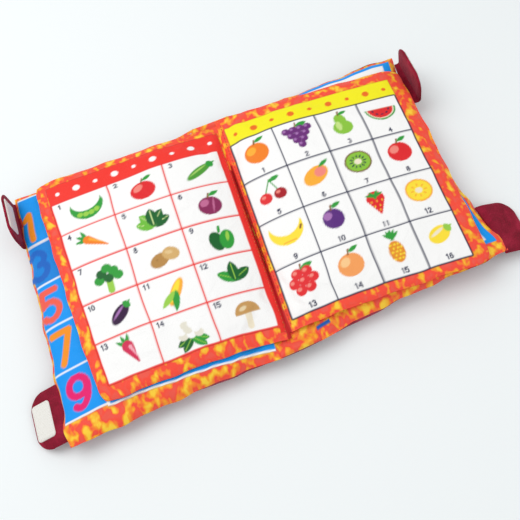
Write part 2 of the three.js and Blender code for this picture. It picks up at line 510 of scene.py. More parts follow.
LEAF_GREEN, DEEP_GREEN, LIGHT_GREEN = "#2E9E3A", "#15632B", "#9AD04B"
RED, DEEP_RED, ROSE = "#E3262B", "#A9121F", "#F58A7E"
ORANGE, AMBER, LEMON = "#F5821F", "#FBB034", "#FFE23A"
PURPLE, DEEP_PURPLE, LILAC = "#6B2A78", "#35143F", "#A873B5"
BROWN, TAN, CREAM = "#8A5A2B", "#C99A5B", "#F4E9CF"
WHITE, NAVY, AZURE, INK_BLUE = "#FBFBFA", "#1B2247", "#0099F5", "#1766C4"
# The deep red of the gutter strips is painted shade in the crease.
PEAR_GREEN, ONION_ROSE, CREASE_SHADE_RED = "#8CC63E", "#C46B96", "#BE141C"


def globe(tint: str, glow: str, wide: float, tall: float) -> Picture:
    """Draws a round fruit with a stalk, a leaf and a soft light side.

    Args:
        tint: The skin's colour.
        glow: The colour of its light side.
        wide: Half its width.
        tall: Half its height.

    Returns:
        The picture's marks.
    """
    return (oval(tint, 0, -0.1, wide, tall), oval(glow, -0.26, 0.12, wide * 0.42, tall * 0.36, 35),
            bar(BROWN, 0.04, tall - 0.02, 0.14, 0.05, 75),
            leaf(LEAF_GREEN, 0.36, tall + 0.08, 0.32, 0.13, 20))


def bunch(tint: str, glow: str, rows: tuple[int, ...], size: float) -> Picture:
    """Draws berries in rows under a leaf.

    Args:
        tint: The colour of a berry.
        glow: The colour of its light side.
        rows: How many stand in each row from the top.
        size: A berry's radius.

    Returns:
        The picture's marks.
    """
    marks = [bar(BROWN, 0, 0.78, 0.2, 0.05, 80), leaf(LEAF_GREEN, 0.34, 0.8, 0.36, 0.16, 12)]
    for i, count in enumerate(rows):
        for j in range(count):
            x, y = (j - (count - 1) / 2) * size * 1.8, 0.5 - i * size * 1.55
            marks.append(oval(tint, x, y, size, size))
            marks.append(oval(glow, x - size * 0.3, y + size * 0.3, size * 0.4, size * 0.34))
    return tuple(marks)


def root(tint: str, glow: str, long: float, wide: float, turn: float) -> Picture:
    """Draws a tapering root with its tuft of leaves.

    Args:
        tint: The root's colour.
        glow: The colour of its light side.
        long: Half its length.
        wide: Half its width at the shoulder.
        turn: Which way it points, in degrees.

    Returns:
        The picture's marks.
    """
    c, s = ray(turn)
    marks = []
    for way in (turn - 32, turn, turn + 32):
        x, y = ray(way)
        marks.append(leaf(LEAF_GREEN, -c * long - 0.34 * x, -s * long - 0.34 * y, 0.4, 0.11, way))
    marks.append(cone(tint, 0, 0, long, wide, turn))
    shine = (-0.08 * c - 0.3 * wide * s, -0.08 * s + 0.3 * wide * c)
    marks.append(cone(glow, *shine, long * 0.7, wide * 0.3, turn))
    return tuple(marks)


def leafy(tint: str, vein: str, turns: tuple[float, ...], long: float, wide: float) -> Picture:
    """Draws a sheaf of leaves, each with its vein.

    Args:
        tint: The leaves' colour.
        vein: The veins' colour.
        turns: Which way each leaf points, in degrees.
        long: Half a leaf's length.
        wide: Half a leaf's width.

    Returns:
        The picture's marks.
    """
    marks = []
    for i, turn in enumerate(turns):
        c, s = ray(turn)
        x, y = 0.42 * c, -0.25 + 0.5 * s
        marks.append(leaf(tint if i % 2 else DEEP_GREEN, x, y, long, wide, turn))
        marks.append(bar(vein, x, y, long * 0.75, 0.022, turn))
    return tuple(marks)


def florets(even: str, odd: str, wide: float, tall: float, rows: tuple) -> Picture:
    """Draws a head of florets in two colours by turns.

    Args:
        even: The first colour.
        odd: The other colour.
        wide: Half a floret's width.
        tall: Half its height.
        rows: The height of each row, and the places of its florets.

    Returns:
        The picture's marks.
    """
    return tuple(oval(odd if (i + j) % 2 else even, x, y, wide, tall)
                 for i, (y, places) in enumerate(rows) for j, x in enumerate(places))


def pod(tint: str, glow: str, wide: float, tall: float, turn: float, cap: str) -> Picture:
    """Draws one long fruit with a cap at its stalk end.

    Args:
        tint: The skin's colour.
        glow: The colour of its light side.
        wide: Half its length.
        tall: Half its thickness.
        turn: Which way it lies, in degrees.
        cap: The cap's colour.

    Returns:
        The picture's marks.
    """
    c, s = ray(turn)
    return (oval(tint, 0, 0, wide, tall, turn),
            oval(glow, -0.35 * tall * s, 0.35 * tall * c, wide * 0.66, tall * 0.2, turn),
            leaf(cap, c * wide * 0.92, s * wide * 0.92, 0.26, 0.2, turn + 90),
            bar(cap, c * (wide + 0.1), s * (wide + 0.1), 0.12, 0.05, turn))


def disc(rind: str, flesh: str, seed: str, pips: int) -> Picture:
    """Draws a fruit cut across, with pips round its core.

    Args:
        rind: The rind's colour.
        flesh: The flesh's colour.
        seed: The pips' colour.
        pips: How many pips there are.

    Returns:
        The picture's marks.
    """
    marks = [oval(rind, 0, 0, 0.8, 0.72), oval(flesh, 0, 0, 0.71, 0.63), oval(CREAM, 0, 0, 0.22, 0.18)]
    for turn in np.arange(pips) * 360 / pips:
        c, s = ray(turn)
        marks.append(leaf(seed, 0.4 * c, 0.35 * s, 0.11, 0.045, turn))
    return tuple(marks)


def garden() -> list[Picture]:
    """Lists the left page's fifteen vegetables, row by row from the top.

    Returns:
        A picture for each cell.
    """
    mushroom = (bar(CREAM, 0, -0.35, 0.32, 0.2, 90), half(TAN, 0, 0.02, 0.7, 0, 180),
                oval("#E8D3A8", -0.2, 0.35, 0.22, 0.12, 20))
    maize = (oval(AMBER, 0, 0.1, 0.3, 0.85, -35), oval(LEMON, -0.04, 0.16, 0.16, 0.7, -35),
             leaf(LEAF_GREEN, -0.12, -0.38, 0.62, 0.2, 75), leaf(LIGHT_GREEN, -0.5, -0.2, 0.62, 0.18, 40))
    peas = (crescent(LEAF_GREEN, 0, 0.3, 0.95, 0.55),
            *(oval(LIGHT_GREEN, x, -0.3 + 0.45 * x * x, 0.17, 0.17) for x in (-0.5, -0.17, 0.17, 0.5)))
    broccoli = (bar(LIGHT_GREEN, 0, -0.5, 0.3, 0.2, 90), *florets(
        LEAF_GREEN, DEEP_GREEN, 0.3, 0.27, ((-0.05, (-0.55, 0, 0.55)), (0.3, (-0.35, 0.35)), (0.55, (0,)))))
    cauliflower = (*leafy(LEAF_GREEN, LIGHT_GREEN, (200, 340, 225, 315), 0.55, 0.24), *florets(
        "#E6E2D2", WHITE, 0.27, 0.24,
        ((-0.15, (-0.45, 0, 0.45)), (0.15, (-0.5, -0.1, 0.35)), (0.42, (-0.2, 0.2)))))
    onion = (*globe("#8C2A5B", ONION_ROSE, 0.66, 0.6), leaf(ONION_ROSE, 0.2, -0.1, 0.5, 0.06, 80))
    potatoes = (oval("#B98A4A", -0.3, -0.15, 0.58, 0.42, 20), oval("#D6AE6E", 0.4, 0.05, 0.5, 0.4, -25),
                oval("#E4C48C", 0.3, 0.16, 0.22, 0.12, -20), oval("#9A7038", -0.45, -0.1, 0.06, 0.04))
    pepper = (oval(DEEP_GREEN, -0.28, -0.1, 0.4, 0.62, 10), oval(LEAF_GREEN, 0.28, -0.1, 0.4, 0.62, -10),
              oval(LIGHT_GREEN, 0.36, 0.1, 0.1, 0.3, -10), bar(LEAF_GREEN, 0, 0.62, 0.16, 0.08, 80))
    lettuce = leafy("#6FBF3C", "#D7EDA0", (15, 165, 50, 130, 90), 0.6, 0.34)
    herb = leafy(LEAF_GREEN, LIGHT_GREEN, (30, 150, 90), 0.62, 0.3)
    gourd = pod("#4F9E35", "#A9D66B", 0.86, 0.27, 30, LEAF_GREEN)
    aubergine = pod(DEEP_PURPLE, LILAC, 0.72, 0.36, 40, LEAF_GREEN)
    return [peas, globe(RED, ROSE, 0.74, 0.62), gourd,
            root(ORANGE, AMBER, 0.62, 0.27, -35), lettuce, onion,
            broccoli, potatoes, pepper,
            aubergine, maize, herb,
            root("#D42A55", "#F4A8B8", 0.5, 0.34, -70), cauliflower, mushroom]


def orchard() -> list[Picture]:
    """Lists the right page's sixteen fruits, row by row from the top.

    Returns:
        A picture for each cell.
    """
    banana = (crescent(LEMON, 0, 0.35, 0.95, 0.5), bar(BROWN, 0.78, 0.18, 0.1, 0.06, 60),
              bar(AMBER, 0, -0.42, 0.34, 0.03))
    pear = (oval(PEAR_GREEN, 0, -0.3, 0.58, 0.5), oval(PEAR_GREEN, 0, 0.25, 0.34, 0.5),
            oval("#C9E58A", -0.2, -0.15, 0.16, 0.34), bar(BROWN, 0.05, 0.8, 0.14, 0.05, 80),
            leaf(LEAF_GREEN, 0.3, 0.78, 0.28, 0.12, 15))
    cherries = (bar(LEAF_GREEN, -0.2, 0.3, 0.5, 0.035, 62), bar(LEAF_GREEN, 0.22, 0.3, 0.5, 0.035, 112),
                oval(RED, -0.42, -0.3, 0.36, 0.34), oval(DEEP_RED, 0.42, -0.3, 0.36, 0.34),
                oval(ROSE, -0.52, -0.18, 0.12, 0.1), oval(ROSE, 0.32, -0.18, 0.12, 0.1),
                leaf(LEAF_GREEN, 0.32, 0.74, 0.36, 0.14, 12))
    crown = (leaf(LEAF_GREEN, 0.2 * ray(t)[0], 0.5 + 0.25 * ray(t)[1], 0.36, 0.1, t)
             for t in (40, 65, 90, 115, 140))
    pineapple = (*crown, oval("#E8932A", 0, -0.25, 0.42, 0.62), *(
        oval(LEMON, x + 0.12 * (i % 2), 0.2 * i - 0.65, 0.06, 0.06)
        for i in range(5) for x in (-0.24, 0.0, 0.18)))
    seeds = ((-0.3, 0.1), (0, 0.1), (0.3, 0.1), (-0.2, -0.2), (0.12, -0.2), (0, -0.45))
    strawberry = (cone(RED, 0, -0.2, 0.42, 0.52, -90), *(oval(LEMON, x, y, 0.035, 0.055) for x, y in seeds),
                  *(leaf(LEAF_GREEN, 0.2 * ray(t)[0], 0.5, 0.3, 0.1, t) for t in (10, 60, 120, 170)))
    mango = (oval(AMBER, 0, -0.05, 0.8, 0.52, 28), oval(ROSE, 0.3, 0.1, 0.36, 0.3, 28),
             leaf(LEAF_GREEN, 0.62, 0.6, 0.36, 0.12, 30))
    melon = (half(LEAF_GREEN, 0, 0.4, 0.92, 0), half(CREAM, 0, 0.4, 0.82, 0), half(RED, 0, 0.4, 0.75, 0), *(
        oval(NAVY, 0.5 * ray(t)[0], 0.4 + 0.5 * ray(t)[1], 0.05, 0.09, t)
        for t in (198, 234, 270, 306, 342)))
    lemon = pod(LEMON, CREAM, 0.66, 0.46, 25, LIGHT_GREEN)
    return [globe(ORANGE, AMBER, 0.7, 0.68), bunch(PURPLE, LILAC, (4, 3, 2, 1), 0.24), pear, melon,
            cherries, mango, disc("#7A5A2E", PEAR_GREEN, NAVY, 12), globe(RED, ROSE, 0.7, 0.66),
            banana, globe("#5B2A7E", LILAC, 0.6, 0.6), strawberry, disc(AMBER, LEMON, AMBER, 8),
            bunch(RED, ROSE, (2, 3, 2), 0.3), globe("#F6A15B", "#FBCB8F", 0.72, 0.66), pineapple, lemon]


def numeral(figure: int) -> list[list[tuple[float, float]]]:
    """Gives the strokes of a plain rounded figure, one unit high and 0.6 wide.

    Args:
        figure: A number from 0 to 9.

    Returns:
        The strokes, each a list of points.
    """
    def bow(x: float, y: float, wide: float, tall: float, start: float, end: float) -> list:
        """Gives the points of an arc between two angles in degrees."""
        return [(x + wide * ray(t)[0], y + tall * ray(t)[1]) for t in np.linspace(start, end, 17)]

    return {
        0: [bow(0, 0, 0.28, 0.5, 0, 360)],
        1: [[(-0.14, 0.32), (0.06, 0.5), (0.06, -0.5)]],
        2: [bow(0, 0.23, 0.27, 0.27, 170, -40) + [(-0.28, -0.5), (0.3, -0.5)]],
        3: [bow(-0.02, 0.25, 0.25, 0.25, 150, -80), bow(-0.02, -0.23, 0.29, 0.27, 80, -150)],
        4: [[(0.14, -0.5), (0.14, 0.5), (-0.3, -0.16), (0.32, -0.16)]],
        5: [[(0.26, 0.5), (-0.22, 0.5), (-0.26, 0.06)] + bow(-0.02, -0.18, 0.3, 0.32, 125, -140)],
        6: [bow(0, -0.2, 0.28, 0.3, 0, 360), bow(0.02, -0.16, 0.3, 0.64, 180, 60)],
        7: [[(-0.28, 0.5), (0.28, 0.5), (-0.08, -0.5)]],
        8: [bow(0, 0.26, 0.22, 0.24, 0, 360), bow(0, -0.23, 0.28, 0.27, 0, 360)],
        9: [bow(0, 0.2, 0.28, 0.3, 0, 360), bow(-0.02, 0.16, 0.3, 0.64, 0, -120)],
    }[figure]


# Printing


class Panel:
    """A printed panel of cloth: where each point lies on the flat cut, and the ink laid on it so far."""

    # The width of the ink's soft edge, the room looked at round a mark, and how far apart two figures of a
    # number stand, in heights.
    EDGE = 0.9
    MARGIN = 3
    PITCH = 0.78

    def __init__(self, cut: Array) -> None:
        """Starts a bare panel.

        Args:
            cut: The points' places on the flat cut, in millimetres.
        """
        self.x, self.y = cut[:, 0], cut[:, 1]
        self.ink = np.zeros((len(cut), 4))

    def near(self, x: float, y: float, reach: float) -> Array:
        """Gives the numbers of the points within reach of a place."""
        return np.flatnonzero((np.abs(self.x - x) < reach) & (np.abs(self.y - y) < reach))

    def press(self, points: Array, depth: Array, tint: str) -> None:
        """Lays ink on points, softly along its edge.

        Args:
            points: The points' numbers.
            depth: How far each lies inside the outline, in millimetres.
            tint: The ink's colour.
        """
        share = np.clip(0.5 + depth / self.EDGE, 0, 1)[:, None]
        self.ink[points] += (np.array(linear(tint)) - self.ink[points]) * share

    def band(self, x0: float, x1: float, y0: float, y1: float, tint: str, fall: float = 0.0) -> None:
        """Prints a straight-edged field.

        Args:
            x0: Its left edge.
            x1: Its right edge.
            y0: Its lower edge.
            y1: Its upper edge.
            tint: Its colour.
            fall: How much lower its lower edge is at the right.
        """
        low = y0 - fall * (self.x - x0) / (x1 - x0)
        depth = np.minimum.reduce((self.x - x0, x1 - self.x, self.y - low, y1 - self.y))
        self.press(np.arange(len(depth)), depth, tint)

    def picture(self, picture: Picture, x: float, y: float, size: float) -> None:
        """Prints a picture.

        Args:
            picture: Its marks.
            x: Its middle.
            y: Its middle.
            size: Half its width.
        """
        for mark in picture:
            reach = (mark.a + mark.b) * size + self.MARGIN
            points = self.near(x + mark.x * size, y + mark.y * size, reach)
            self.press(points, mark.depth(self.x[points] - x, self.y[points] - y, size), mark.tint)

    def number(self, value: int, x: float, y: float, tall: float, stroke: float, tint: str) -> None:
        """Prints a plain number.

        Args:
            value: The number.
            x: Its middle.
            y: Its middle.
            tall: Its height.
            stroke: The width of its strokes.
            tint: Its colour.
        """
        figures = str(value)
        for i, figure in enumerate(figures):
            middle = x + (i - (len(figures) - 1) / 2) * self.PITCH * tall
            points = self.near(middle, y, tall)
            px, py = self.x[points], self.y[points]
            nearest = np.full(len(points), np.inf)
            for strokes in numeral(int(figure)):
                way = np.array(strokes) * tall + (middle, y)
                for (ax, ay), (dx, dy) in zip(way[:-1], np.diff(way, axis=0)):
                    t = np.clip(((px - ax) * dx + (py - ay) * dy) / max(dx * dx + dy * dy, 1e-9), 0, 1)
                    nearest = np.minimum(nearest, np.hypot(px - ax - t * dx, py - ay - t * dy))
            self.press(points, stroke / 2 - nearest, tint)

    def dry(self, made: Object) -> None:
        """Writes the ink to the panel's object."""
        colours = made.data.attributes.new("print", "FLOAT_COLOR", "POINT")
        colours.data.foreach_set("color", self.ink.astype(np.float32).ravel())


@dataclass(frozen=True)
class Chart:
    """A ruled chart under a dotted heading, with a picture and a small number in each cell.

    The heading and the strips give a left, right, lower and upper edge and a colour. The dots give the
    first one's place, the step to the next, their height and their colour.
    """

    uprights: tuple[float, ...]
    low: float
    high: float
    rows: int
    line: float
    rule: str
    heading: tuple[float, float, float, float, str]
    strips: tuple[tuple[float, float, float, float, str], ...]
    dots: tuple[float, float, float, str]
    pictures: list[Picture]
    size: float
    shift: tuple[float, float]
    caption: tuple[float, float]
    dot_sizes: tuple[float, ...] = (2.6, 4.2, 2.6, 4.2, 2.6, 4.2, 2.6, 4.2, 2.6)
    caption_tall: float = 5.6
    caption_stroke: float = 1.5

    def print_on(self, panel: Panel) -> None:
        """Prints the heading, the strips beside the gutter, the ruled cells and what they hold.

        Args:
            panel: The page's front.
        """
        for field in (self.heading, *self.strips):
            panel.band(*field)
        start, step, height, tint = self.dots
        for i, size in enumerate(self.dot_sizes):
            panel.picture((oval(tint, 0, 0, 1, 1),), start + i * step, height, size)
        x0, x1, edge = self.uprights[0], self.uprights[-1], self.line / 2
        panel.band(x0, x1, self.low, self.high, WHITE)
        tall = (self.high - self.low) / self.rows
        for i in range(self.rows + 1):
            y = self.high - i * tall
            panel.band(x0, x1, y - edge, y + edge, self.rule)
        for x in self.uprights:
            panel.band(x - edge, x + edge, self.low, self.high, self.rule)
        for i, picture in enumerate(self.pictures):
            row, column = divmod(i, len(self.uprights) - 1)
            x = (self.uprights[column] + self.uprights[column + 1]) / 2
            y = self.high - (row + 0.5) * tall
            panel.picture(picture, x + self.shift[0], y + self.shift[1], self.size)
            panel.number(i + 1, x + self.caption[0], y + self.caption[1], self.caption_tall,
                         self.caption_stroke, NAVY)


# A plain red strip runs down beside the left chart, and a deeper red strip along the gutter on both pages is
# painted shade in the crease.
CHARTS = {
    Side.LEFT: Chart(
        uprights=(-208, -142, -76, -10), low=-128.5, high=106, rows=5, line=2.2, rule="#EE2F2A",
        heading=(-209, -9, 104, 133, "#F5362B"),
        strips=((-9.5, -3, -136, 133, "#F0302A"), (-3, 1, -150, 76, CREASE_SHADE_RED)),
        dots=(-197, 22.6, 119, WHITE), pictures=garden(), size=20.0, shift=(5.0, -2.0),
        caption=(-24.0, 17.0)),
    Side.RIGHT: Chart(
        uprights=(8, 61, 114, 166, 216), low=-133, high=100, rows=4, line=1.8, rule=NAVY,
        heading=(8, 217, 98, 127, "#F8F018"), strips=((-1, 2.4, -150, 76, CREASE_SHADE_RED),),
        dots=(19, 23.4, 112.5, "#F0701E"), pictures=orchard(), size=20.5, shift=(0.0, 5.0),
        caption=(0.0, -22.5))}


# Meshes


def loft(u: Array, v: Array) -> Array:
    """Gives how far a stuffed panel swells, 1 at its middle and 0 along its seams."""
    across, along = (np.clip(1 - np.abs(way) ** LOFT_POWER, 0, None) for way in (u, v))
    return np.sqrt(across * along)


def ripple(along: Array, size: float) -> Array:
    """Gives how far a sewn edge strays in or out along its run, for a run in millimetres."""
    return size * (0.62 * np.sin(along / 9.1 + 0.7) + 0.38 * np.sin(along / 4.7 + 2.1))


def stops(count: int) -> Array:
    """Gives places from -1 to 1 that crowd towards the seams."""
    even = np.linspace(-1, 1, count + 1)
    return 0.6 * even + 0.4 * np.sin(even * math.pi / 2)


def mesh_object(name: str, points: Array, faces: list[tuple[int, ...]], cut: Array | None = None) -> Object:
    """Makes a smooth mesh object.

    Args:
        name: The object's name.
        points: Its points, in millimetres.
        faces: Its faces.
        cut: Each point's place on the flat cloth, in millimetres.

    Returns:
        The object.
    """
    mesh = bpy.data.meshes.new(name)
    mesh.from_pydata((points.reshape(-1, 3) * MM).tolist(), [], faces)
    mesh.shade_smooth()
    if cut is not None:
        places = mesh.attributes.new("cut", "FLOAT_VECTOR", "POINT")
        places.data.foreach_set("vector", cut.astype(np.float32).ravel())
    made = bpy.data.objects.new(name, mesh)
    bpy.context.collection.objects.link(made)
    return made


def grid_faces(numbers: Array, flip: bool = False) -> list[tuple[int, ...]]:
    """Gives the four-sided faces of a grid of points.

    Args:
        numbers: The points' numbers, row by row.
        flip: Whether the faces look down.

    Returns:
        The faces.
    """
    around = (numbers[:-1, :-1], numbers[:-1, 1:], numbers[1:, 1:], numbers[1:, :-1])
    faces = np.stack([corner.ravel() for corner in (around[::-1] if flip else around)], axis=1)
    return [tuple(face) for face in faces.tolist()]


def plate(name: str, upper: Array, under: Array, cut: Array, flip: bool) -> Object:
    """Makes a closed piece of two grids of points that are joined round their rim.

    Args:
        name: The object's name.
        upper: The points of one face, in millimetres.
        under: The points of the other face.
        cut: Each point's place on the flat cloth.
        flip: Whether the grid runs the other way round.

    Returns:
        The object.
    """
    numbers = np.arange(upper[..., 0].size).reshape(upper.shape[:2])
    count = numbers.size
    faces = grid_faces(numbers, flip) + grid_faces(numbers + count, not flip)
    sides = (numbers[0], numbers[1:, -1], numbers[-1, -2::-1], numbers[-2:0:-1, 0])
    rim = np.concatenate(sides).tolist()
    for a, b in zip(rim, rim[1:] + rim[:1]):
        wall = (a, a + count, b + count, b)
        faces.append(wall[::-1] if flip else wall)
    return mesh_object(name, np.concatenate((upper, under)), faces, np.concatenate((cut, cut)))


def refine(made: Object, halvings: int) -> None:
    """Halves every cell of a mesh smoothly, and keeps the result.

    Args:
        made: The object.
        halvings: How many times.
    """
    step = made.modifiers.new("refine", "SUBSURF")
    step.levels = step.render_levels = halvings
    step.boundary_smooth = "PRESERVE_CORNERS"
    bpy.context.view_layer.update()
    coarse = made.data
    made.data = bpy.data.meshes.new_from_object(made.evaluated_get(bpy.context.evaluated_depsgraph_get()))
    made.modifiers.clear()
    made.data.name = made.name
    bpy.data.meshes.remove(coarse)


def read(made: Object, name: str = "position") -> Array:
    """Reads a vector attribute of an object's points.

    Args:
        made: The object.
        name: The attribute.

    Returns:
        One row for each point.
    """
    mesh = made.data
    values = np.empty(len(mesh.vertices) * 3, dtype=np.float32)
    mesh.attributes[name].data.foreach_get("vector", values)
    return values.reshape(-1, 3).astype(float)


def stitch_row(name: str, way: Array, up: Array, long: float, gap: float, thick: float) -> Object:
    """Sews a row of stitches along a way over the cloth.

    Args:
        name: The object's name.
        way: The points of the way, in millimetres.
        up: The direction out of the cloth.
        long: A stitch's length.
        gap: The room between two stitches.
        thick: A stitch's radius.

    Returns:
        The object.
    """
    rings, sides = 5, 6
    turns = np.linspace(0, 2 * math.pi, sides + 1)[:-1, None]
    run = np.concatenate(((0.0,), np.cumsum(np.linalg.norm(np.diff(way, axis=0), axis=1))))
    points: list[Array] = []
    faces: list[tuple[int, ...]] = []
    start = gap / 2
    while start + long <= run[-1]:
        at = np.linspace(start, start + long, rings)
        line = np.stack([np.interp(at, run, way[:, i]) for i in range(3)], axis=1)
        along = line[-1] - line[0]
        along /= np.linalg.norm(along)
        out = up - along * (up @ along)
        out /= np.linalg.norm(out)
        across = np.cross(along, out)
        numbers = len(points) * sides + np.arange(rings * sides).reshape(rings, sides)
        # The strand is thickest in its middle and dips into the cloth at both ends.
        for t, centre in zip(np.linspace(-1, 1, rings), line):
            radius = thick * math.sqrt(max(0.12, 1 - t * t * 0.9))
            middle = centre + out * thick * (0.75 - 0.9 * t * t)
            points.append(middle + radius * (np.cos(turns) * across + np.sin(turns) * out))
        faces += grid_faces(np.concatenate((numbers, numbers[:, :1]), axis=1))
        faces += [tuple(numbers[0, ::-1].tolist()), tuple(numbers[-1].tolist())]
        start += long + gap
    return mesh_object(name, np.concatenate(points), faces)


# Cushions


@dataclass
class Cushion:
    """Two panels of cloth sewn together and stuffed. Their shared seam is the outer ring of both grids.

    A point's u runs from -1 to 1 across the cushion, and its v from -1 at the tail to 1 at the head.
    """

    # How many steps the stuffing takes, how much the cloth gives, and how firmly the thread gathers the seam
    # and the cells beside it.
    STEPS = 20
    GIVE = 0.012
    GATHERED = (1.0, 0.8, 0.3)

    side: Side
    columns: int
    rows: int
    gather: float
    pressure: float
    cap: float
    blunt: float
    blunt_power: int
    stray: float

    def plan(self, u: Array, v: Array) -> tuple[Array, Array]:
        """Gives the place on the floor of a point of the cushion."""
        raise NotImplementedError

    def flat(self, u: Array, v: Array) -> tuple[Array, Array]:
        """Gives the place of a point on the flat cut."""
        raise NotImplementedError

    def upper(self, u: Array, v: Array) -> Array:
        """Gives the height of the upper panel."""
        raise NotImplementedError

    def under(self, u: Array, v: Array) -> Array:
        """Gives the height of the under panel."""
        raise NotImplementedError

    def held(self, u: Array, v: Array) -> Array:
        """Tells where the under panel is held in place."""
        raise NotImplementedError

    def settle(self, u: Array, v: Array, upper: Array, under: Array) -> None:
        """Keeps the stuffed panels within the room that their neighbours leave."""
        raise NotImplementedError

    def lay(self, x: Array, y: Array, v: Array) -> tuple[Array, Array]:
        """Moves points to where the slumped cushion has them."""
        raise NotImplementedError

    def prints(self, panel: Panel) -> None:
        """Prints the upper panel."""
        raise NotImplementedError

    def wander(self, u: Array, v: Array, x: Array, y: Array, free: Array | float) -> tuple[Array, Array]:
        """Blunts the outer corners, and lets the sewn edges stray in and out.

        Args:
            u: The points' places across.
            v: Their places along the spine.
            x: Their x with even edges, in millimetres.
            y: Their y with even edges.
            free: How freely the head and tail stray, from 0 to 1.

        Returns:
            The points' new x and y.
        """
        outer = u * self.side.value > 0
        corner = self.blunt * np.abs(u * v) ** self.blunt_power * outer
        wave_x = ripple(y, self.stray) * np.abs(u) ** 8 * outer
        wave_y = ripple(x, self.stray) * np.abs(v) ** 8 * free
        return x - np.sign(u) * (corner + wave_x), y - np.sign(v) * (corner + wave_y)

    def grids(self) -> tuple[Array, Array, Array, Array]:
        """Gives both panels before the stuffing, with a rounded ring where they are sewn.

        Returns:
            The stops across and along, and the upper and under grids in millimetres.
        """
        u, v = np.meshgrid(np.pad(stops(self.columns), 1, "edge"), np.pad(stops(self.rows), 1, "edge"))
        x, y = self.plan(u, v)
        x[:, 0] -= SEAM_LIP
        x[:, -1] += SEAM_LIP
        y[0] -= SEAM_LIP
        y[-1] += SEAM_LIP
        upper, under = self.upper(u, v), self.under(u, v)
        ring = np.ones_like(u, dtype=bool)
        ring[1:-1, 1:-1] = False
        middle = (upper + under) / 2
        upper[ring], under[ring] = middle[ring], middle[ring]
        return u, v, np.stack((x, y, upper), axis=2), np.stack((x, y, under), axis=2)

    def simulate(self, made: Object) -> Array:
        """Swells and gathers a cushion's mesh as cloth, and takes the mesh away.

        Args:
            made: The mesh's object, with its seam and its held points in vertex groups.

        Returns:
            The points' new places, in millimetres.
        """
        cloth = made.modifiers.new("stuffing", "CLOTH")
        rule = cloth.settings
        rule.quality = 8
        rule.mass = 0.15
        rule.tension_stiffness = rule.compression_stiffness = 12.0
        rule.shear_stiffness = 4.0
        rule.bending_stiffness = 0.15
        rule.use_pressure = True
        rule.uniform_pressure_force = self.pressure
        rule.effector_weights.gravity = 0.0
        rule.vertex_group_shrink = "seam"
        rule.shrink_min, rule.shrink_max = -self.GIVE, self.gather
        rule.vertex_group_mass = "held"
        cloth.point_cache.frame_start, cloth.point_cache.frame_end = 1, self.STEPS + 2
        scene = bpy.context.scene
        for step in range(1, self.STEPS + 1):
            scene.frame_set(step)
        moved = read(made.evaluated_get(bpy.context.evaluated_depsgraph_get())) / MM
        scene.frame_set(1)
        bare = made.data
        bpy.data.objects.remove(made)
        bpy.data.meshes.remove(bare)
        return moved

    def stuffed(self) -> tuple[Array, Array, Array, Array]:
        """Stuffs the cushion in a cloth simulation, which swells its panels and puckers its seams.

        Returns:
            The stops across and along, and the upper and under grids in millimetres.
        """
        u, v, upper, under = self.grids()
        rows, columns = u.shape
        numbers = np.arange(u.size).reshape(rows, columns)
        lower = numbers.copy()
        lower[1:-1, 1:-1] = u.size + np.arange((rows - 2) * (columns - 2)).reshape(rows - 2, columns - 2)
        points = np.concatenate((upper.reshape(-1, 3), under[1:-1, 1:-1].reshape(-1, 3)))
        made = mesh_object("stuffing", points, grid_faces(numbers) + grid_faces(lower, True))
        across, along = np.meshgrid(np.arange(columns), np.arange(rows))
        edge = np.minimum.reduce((across, along, columns - 1 - across, rows - 1 - along))
        seam = made.vertex_groups.new(name="seam")
        for depth, share in enumerate(self.GATHERED):
            seam.add(np.unique((numbers[edge == depth], lower[edge == depth])).tolist(), share, "REPLACE")
        pins = made.vertex_groups.new(name="held")
        pins.add(np.unique(lower[self.held(u, v)]).tolist(), 1.0, "REPLACE")
        shift = self.simulate(made) - points
        far = np.linalg.norm(shift, axis=1, keepdims=True)
        points = points + shift * np.minimum(1, self.cap / np.maximum(far, 1e-6))
        LOG.info("stuffed %s: most moved %.1f mm, mean %.1f mm", type(self).__name__, far.max(), far.mean())
        upper, under = points[numbers], points[lower]
        self.settle(u, v, upper, under)
        return u, v, upper, under

    def panels(self, upper_name: str, under_name: str) -> tuple[Object, Object]:
        """Stuffs the cushion, lays it as it has slumped, and makes its panels with the upper one's print.

        Args:
            upper_name: The upper panel's name.
            under_name: The under panel's name.

        Returns:
            The two panels.
        """
        u, v, upper, under = self.stuffed()
        cut = np.stack((*self.flat(u, v), np.zeros_like(u)), axis=2)
        numbers = np.arange(u.size).reshape(u.shape)
        pieces = []
        for name, grid, flip, halvings in ((upper_name, upper, False, PRINT_HALVINGS),
                                           (under_name, under, True, PLAIN_HALVINGS)):
            grid[..., 0], grid[..., 1] = self.lay(grid[..., 0], grid[..., 1], v)
            piece = mesh_object(name, grid, grid_faces(numbers, flip), cut)
            refine(piece, halvings)
            pieces.append(piece)
        face, back = pieces
        panel = Panel(read(face, "cut"))
        self.prints(panel)
        panel.dry(face)
        return face, back


